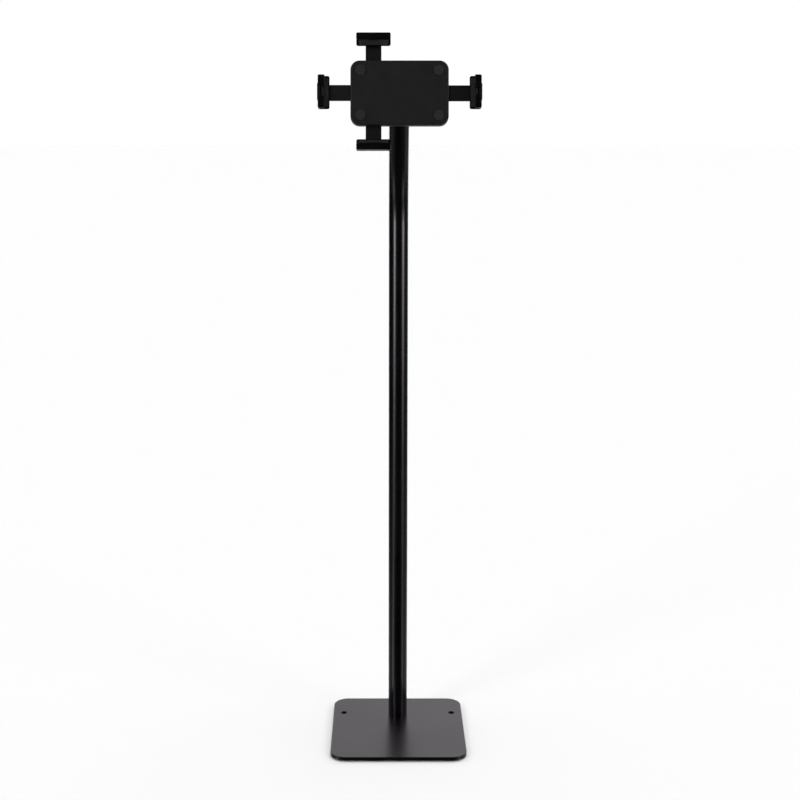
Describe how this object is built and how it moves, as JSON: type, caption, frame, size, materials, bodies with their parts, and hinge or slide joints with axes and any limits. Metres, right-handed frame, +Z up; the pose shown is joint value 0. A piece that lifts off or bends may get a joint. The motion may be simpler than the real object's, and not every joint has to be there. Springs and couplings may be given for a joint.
{
  "type": "tablet floor stand",
  "caption": "Freestanding floor stand for a tablet: flat steel base, tube bent forward at the top, and a tilting, turning holder whose geared clamps close from each side.",
  "frame": {"origin": "bottom centre of the base, on the surface that the feet stand on", "axes": "+Z up along the pole, -Y towards the person in front of the tablet, +X to that person's right"},
  "size_m": [0.2488, 0.2224, 1.1495],
  "materials": {
    "plate_coat": "satin black powder coat",
    "pole_coat": "satin black powder coat",
    "steel_coat": "satin black powder coat",
    "zinc": "zinc plated",
    "black_fastener": "black oxide steel",
    "raw_steel": "machined steel",
    "shell_plastic": "fine-grained matte black",
    "jaw_plastic": "moulded satin black",
    "liner_rubber": "matte",
    "foot_rubber": "matte",
    "friction_nylon": "natural nylon",
    "lock_chrome": "bright nickel plate",
    "cam_steel": "zinc plated"
  },
  "bodies": {
    "stand": {"base_plate": "plate_coat", "base_feet": "foot_rubber", "base_screws": "zinc", "foot_plug": "raw_steel", "pole_tube": "pole_coat", "pole_head": "steel_coat", "head_screws": "black_fastener"},
    "tilt_head": {"tilt_bracket": "steel_coat", "tilt_bolt": "black_fastener", "tilt_nut": "zinc", "tilt_washers": "zinc", "friction_disc": "friction_nylon", "spindle_washer": "zinc", "spindle_screw": "zinc", "wave_washer": "zinc"},
    "holder": {"rotor_plate": "steel_coat", "rotor_screws": "black_fastener", "front_shell": "shell_plastic", "rear_cover": "shell_plastic", "cover_screws": "black_fastener", "seat_pads": "liner_rubber", "lock_barrel": "lock_chrome", "pinion_pins": "raw_steel"},
    "wide_pinion": {"wide_pinion": "raw_steel"},
    "tall_pinion": {"tall_pinion": "raw_steel"},
    "lock": {"lock_core": "lock_chrome", "lock_cam": "cam_steel"},
    "left_clamp": {"left_arm": "steel_coat", "left_jaw": "jaw_plastic", "left_jaw_liners": "liner_rubber", "left_jaw_screws": "black_fastener"},
    "right_clamp": {"right_arm": "steel_coat", "right_jaw": "jaw_plastic", "right_jaw_liners": "liner_rubber", "right_jaw_screws": "black_fastener"},
    "top_clamp": {"top_arm": "steel_coat", "top_jaw": "jaw_plastic", "top_jaw_liners": "liner_rubber", "top_jaw_screws": "black_fastener"},
    "bottom_clamp": {"bottom_arm": "steel_coat", "bottom_jaw": "jaw_plastic", "bottom_jaw_liners": "liner_rubber", "bottom_jaw_screws": "black_fastener"}
  },
  "joints": [
    {"name": "tilt", "type": "hinge", "parent": "stand", "child": "tilt_head", "pos_m": [0, -0.03304, 1.05476], "axis": [-1, 0, 0], "range_deg": [-15, 45]},
    {"name": "turn", "type": "hinge", "parent": "tilt_head", "child": "holder", "pos_m": [0, -0.04929, 1.05763], "axis": [0, -0.9848, 0.1736], "range_deg": [-90, 90]},
    {"name": "left_slide", "type": "slide", "parent": "holder", "child": "left_clamp", "axis": [-1, 0, 0], "range_m": [-0.022, 0.011]},
    {"name": "right_slide", "type": "slide", "parent": "holder", "child": "right_clamp", "axis": [1, 0, 0], "range_m": [-0.022, 0.011]},
    {"name": "top_slide", "type": "slide", "parent": "holder", "child": "top_clamp", "axis": [0, 0.1736, 0.9848], "range_m": [-0.01975, 0.00775]},
    {"name": "bottom_slide", "type": "slide", "parent": "holder", "child": "bottom_clamp", "axis": [0, -0.1736, -0.9848], "range_m": [-0.01975, 0.00775]},
    {"name": "wide_pinion_spin", "type": "hinge", "parent": "holder", "child": "wide_pinion", "pos_m": [0, -0.06131, 1.05975], "axis": [0, -0.9848, 0.1736], "range_deg": [-213, 108]},
    {"name": "tall_pinion_spin", "type": "hinge", "parent": "holder", "child": "tall_pinion", "pos_m": [-0.0395, -0.05658, 1.05891], "axis": [0, -0.9848, 0.1736], "range_deg": [-192, 77]},
    {"name": "lock_turn", "type": "hinge", "parent": "holder", "child": "lock", "pos_m": [-0.0611, -0.05777, 1.03719], "axis": [0, -0.9848, 0.1736], "range_deg": [0, 180]}
  ],
  "couplings": [
    {"joint": "right_slide", "follows": "left_slide", "ratio": 1},
    {"joint": "wide_pinion_spin", "follows": "left_slide", "rad_per_m": 166.67},
    {"joint": "bottom_slide", "follows": "top_slide", "ratio": 1},
    {"joint": "tall_pinion_spin", "follows": "top_slide", "rad_per_m": 166.67}
  ]
}
